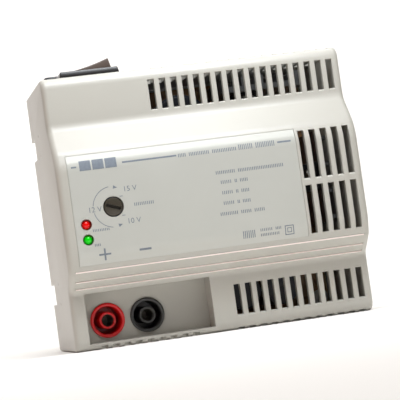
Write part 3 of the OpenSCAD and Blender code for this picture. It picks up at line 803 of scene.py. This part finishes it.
rocker = object_from(button, "rocker_button", brown_polycarbonate)
smooth(rocker, 30)
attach(rocker, "rocker")
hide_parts("switch_rocker")


# ---- Mains inlet ----
# Two-pole inlet in black polyamide: a thick flange with softened edges and a figure-eight well, with
# holes in its bottom for the two round pins.
inlet_polyamide = moulded("black_inlet_polyamide", "24262c", "1d1f24", 0.38, 0.5, 0.008, edge_mm=0.2)
low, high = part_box("inlet_housing")
middle = (low + high) / 2
flange = bmesh.new()
add_block(flange, (low.x, low.y, deck), (high.x, high.y, high.z))
upright = [e for e in flange.edges if abs(e.verts[0].co.z - e.verts[1].co.z) > 1 * MM]
round_edges(flange, upright, 2 * MM, 5)
top_rim = [e for e in flange.edges if all(v.co.z > high.z - 1e-6 for v in e.verts)]
round_edges(flange, top_rim, 0.7 * MM, 4)
inlet = object_from(flange, "inlet_moulding", inlet_polyamide)
body = block_about(middle, (11 * MM, 6.5 * MM), (low.z, deck + joint_overlap))
boolean(inlet, body, "UNION")
lobe_offset, lobe_radius, well_depth = 3.4 * MM, 4.7 * MM, 15.2 * MM
pin_offset, pin_hole_radius = 4.3 * MM, 1.22 * MM
for side in (-1, 1):
    well = bmesh.new()
    add_rod(well, "Z", (middle.x + side * lobe_offset, middle.y, high.z - 5 * MM), lobe_radius,
            2 * (well_depth - 5 * MM), 48)
    boolean(inlet, well, "DIFFERENCE")
waist = block_about(middle, (lobe_offset, 4.2 * MM), (high.z - well_depth, high.z + clear_above))
boolean(inlet, waist, "DIFFERENCE")
holes = bmesh.new()
for side in (-1, 1):
    add_rod(holes, "Z", (middle.x + side * pin_offset, middle.y, low.z + 2 * MM), pin_hole_radius,
            8 * MM, 24)
boolean(inlet, holes, "DIFFERENCE")
smooth(inlet, 35)
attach(inlet, "case")
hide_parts("inlet_housing")


# ---- Back cover ----
# A second ABS moulding, one shade darker, that snaps into the front cover on four tongues and
# carries the main board on four bosses. It keeps its solid shape; only its finish is set here.
def paint(material, *names):
    """Gives CAD nodes a material through their own slots."""
    for name in names:
        for place in frame["nodes"][name].material_slots:
            place.material = material


paint(moulded("grey_ABS_back", "b4b3ac", "acaba3", 0.42, 0.5, 0.008, edge_mm=0.5), "back_cover")


# ---- Metal parts ----
# Zinc-plated screws and nuts, tinned terminals and pins, plated contact tubes, bronze springs and
# enamelled copper: each has its own colour and a fine drawn, turned or rolled surface. The marks
# are drawn coarser than they are, so that they show.
tarnish_mm = 5                      # size of the duller patches


def drawn_metal(name, base, dull, roughness, line_mm, stretch=(1, 1, 1)):
    """A metal with fine marks of its making, stretched along one axis, and a little tarnish."""
    material, tree, out = new_material(name)
    place = add(tree, "TexCoord")
    along = add(tree, "Mapping", {"Scale": stretch}, {"Vector": place.outputs["Object"]})
    lines = add(tree, "TexNoise", {"Scale": 1000 / line_mm, "Detail": 3.0},
                {"Vector": along.outputs["Vector"]})
    tarnish = add(tree, "TexNoise", {"Scale": 1000 / tarnish_mm, "Detail": 2.0},
                  {"Vector": place.outputs["Object"]})
    mix = add(tree, "Mix", {"data_type": "RGBA", 6: colour(base), 7: colour(dull)},
              {0: tarnish.outputs["Fac"]})
    rub = add(tree, "MapRange", {"To Min": roughness - 0.06, "To Max": roughness + 0.1},
              {"Value": lines.outputs["Fac"]})
    bump = add(tree, "Bump", {"Strength": 0.3, "Distance": 0.01 * MM},
               {"Height": lines.outputs["Fac"]})
    shader = add(tree, "BsdfPrincipled", {"Metallic": 1.0},
                 {"Base Color": mix.outputs[2], "Roughness": rub.outputs["Result"],
                  "Normal": bump.outputs["Normal"]})
    tree.links.new(shader.outputs["BSDF"], out.inputs["Surface"])
    return material


paint(drawn_metal("zinc_plated_steel", "c9cac6", "b3b4b2", 0.32, 0.3),
      "board_screws", "control_board_screws", "socket_stud_nuts", "heatsink_screws", "switch_pivot_pin")
paint(drawn_metal("tinned_copper", "d5d4cd", "bdbcb4", 0.34, 0.25),
      "socket_ring_terminals", "inlet_pins", "fuse_clips")
paint(drawn_metal("dull_nickel_plated_tube", "77736a", "5f5b52", 0.35, 0.2, (1, 6, 1)),
      "socket_contact_tubes")
paint(drawn_metal("stamped_brass", "d2b56e", "b4965a", 0.35, 0.3), "switch_terminals")
paint(drawn_metal("phosphor_bronze_strip", "c4935a", "a37746", 0.33, 0.25),
      "switch_contact_arms", "potentiometer_wiper", "current_shunt")
paint(drawn_metal("enamelled_copper_wire", "b8673a", "8f4a26", 0.28, 0.9, (4, 4, 1)),
      "choke_windings", "output_choke_winding")
paint(drawn_metal("extruded_aluminium", "8f9294", "7b7e81", 0.38, 0.4, (1, 0.08, 1)),
      "primary_heatsink", "secondary_heatsink")


# ---- Plastics inside ----
# Nylon, polyester and epoxy mouldings of the parts on the boards, each in its usual colour. Dipped
# coatings are glossy and wavy, moulded packages matt, and wire insulation has a soft even gloss.
paint(moulded("natural_nylon", "ecebe4", "e0ded4", 0.45, 0.4, 0.008), "led_spacers")
paint(moulded("blue_polyester_moulding", "2b5f94", "254f7d", 0.42, 0.4, 0.01), "potentiometer_body")
paint(moulded("black_nylon_nut", "4a4a48", "3e3e3c", 0.45, 0.4, 0.01), "socket_ring_nuts")
paint(moulded("green_polyamide", "3d8050", "356f45", 0.42, 0.4, 0.01), "terminal_block")
paint(moulded("black_moulded_epoxy", "26262a", "1e1e21", 0.55, 0.25, 0.012),
      "bridge_rectifier", "controller_chip", "primary_transistor", "output_diode", "transformer_bobbin")
paint(moulded("white_moulded_epoxy", "e9e7df", "dcdad0", 0.5, 0.25, 0.012), "optocoupler")
paint(moulded("yellow_polyester_box", "dcb94c", "cfa93e", 0.4, 0.3, 0.008), "x_capacitor")
paint(moulded("blue_dipped_epoxy", "2c60a8", "26528f", 0.3, 1.2, 0.04), "varistor", "y_capacitors")
paint(moulded("yellow_epoxy_coating", "d9c440", "cdb533", 0.35, 0.8, 0.03), "output_choke_core")
paint(moulded("amber_polyester_tape", "cd922f", "bd8327", 0.32, 3.0, 0.02), "transformer_winding")
paint(moulded("dark_shrink_sleeve", "2b2e36", "24272e", 0.28, 2.0, 0.01),
      "bulk_capacitor", "output_capacitors")
paint(moulded("red_pvc_insulation", "b9171c", "a81418", 0.38, 0.5, 0.01), "output_lead_red")
paint(moulded("black_pvc_insulation", "272726", "1f1f1e", 0.38, 0.5, 0.01), "output_lead_black")
paint(moulded("brown_pvc_insulation", "6d4a2e", "5f4027", 0.38, 0.5, 0.01), "mains_lead_live")
paint(moulded("blue_pvc_insulation", "3163a3", "2a558d", 0.38, 0.5, 0.01), "mains_lead_neutral")
paint(moulded("aramid_sheet", "e7e0c2", "dbd3b1", 0.6, 0.8, 0.02), "insulation_sheet")
paint(moulded("glazed_ceramic", "e9e9dd", "dfdfd1", 0.2, 1.5, 0.01), "fuse")


# ---- Boards, ferrite and ribbon ----
# Brown paper-phenolic boards show the tracks through a clear lacquer; ferrite is a dull sintered
# grey; the ribbon is a row of parallel wires moulded together.
lane_mm = 9                         # size of the copper areas


def laminate(name, ground, track, fibre_mm):
    """Lacquered laminate: lighter lanes where the tracks run, a faint fibre and a low gloss."""
    material, tree, out = new_material(name)
    place = add(tree, "TexCoord")
    lanes = add(tree, "TexVoronoi", {"feature": "DISTANCE_TO_EDGE", "Scale": 1000 / lane_mm},
                {"Vector": place.outputs["Object"]})
    bounds = add(tree, "MapRange", {"From Min": 0.04, "From Max": 0.06},
                 {"Value": lanes.outputs["Distance"]})
    mix = add(tree, "Mix", {"data_type": "RGBA", 6: colour(ground), 7: colour(track)},
              {0: bounds.outputs["Result"]})
    fibre = add(tree, "TexWave", {"Scale": 1000 / fibre_mm / 2, "Distortion": 0.2},
                {"Vector": place.outputs["Object"]})
    bump = add(tree, "Bump", {"Strength": 0.2, "Distance": 0.02 * MM},
               {"Height": fibre.outputs["Fac"]})
    shader = add(tree, "BsdfPrincipled", {"Roughness": 0.32},
                 {"Base Color": mix.outputs[2], "Normal": bump.outputs["Normal"]})
    tree.links.new(shader.outputs["BSDF"], out.inputs["Surface"])
    return material


paint(laminate("brown_paper_phenolic", "8d6a4a", "a37f58", 0.8), "main_board", "control_board")
paint(moulded("sintered_ferrite", "4b4d50", "3d3f42", 0.62, 0.2, 0.02, specular=0.4),
      "transformer_core", "choke_core")


def ribbon_pvc(name, base, groove, wire_mm):
    """Flat cable: soft grey ridges, one to each wire."""
    material, tree, out = new_material(name)
    place = add(tree, "TexCoord")
    ridge = add(tree, "TexWave", {"bands_direction": "X", "Scale": 1000 / wire_mm / 6.283},
                {"Vector": place.outputs["Object"]})
    mix = add(tree, "Mix", {"data_type": "RGBA", 6: colour(groove), 7: colour(base)},
              {0: ridge.outputs["Fac"]})
    bump = add(tree, "Bump", {"Strength": 0.5, "Distance": 0.2 * MM},
               {"Height": ridge.outputs["Fac"]})
    shader = add(tree, "BsdfPrincipled", {"Roughness": 0.45},
                 {"Base Color": mix.outputs[2], "Normal": bump.outputs["Normal"]})
    tree.links.new(shader.outputs["BSDF"], out.inputs["Surface"])
    return material


paint(ribbon_pvc("grey_ribbon_pvc", "b9b9b5", "8c8c88", 1.27), "ribbon_cable")
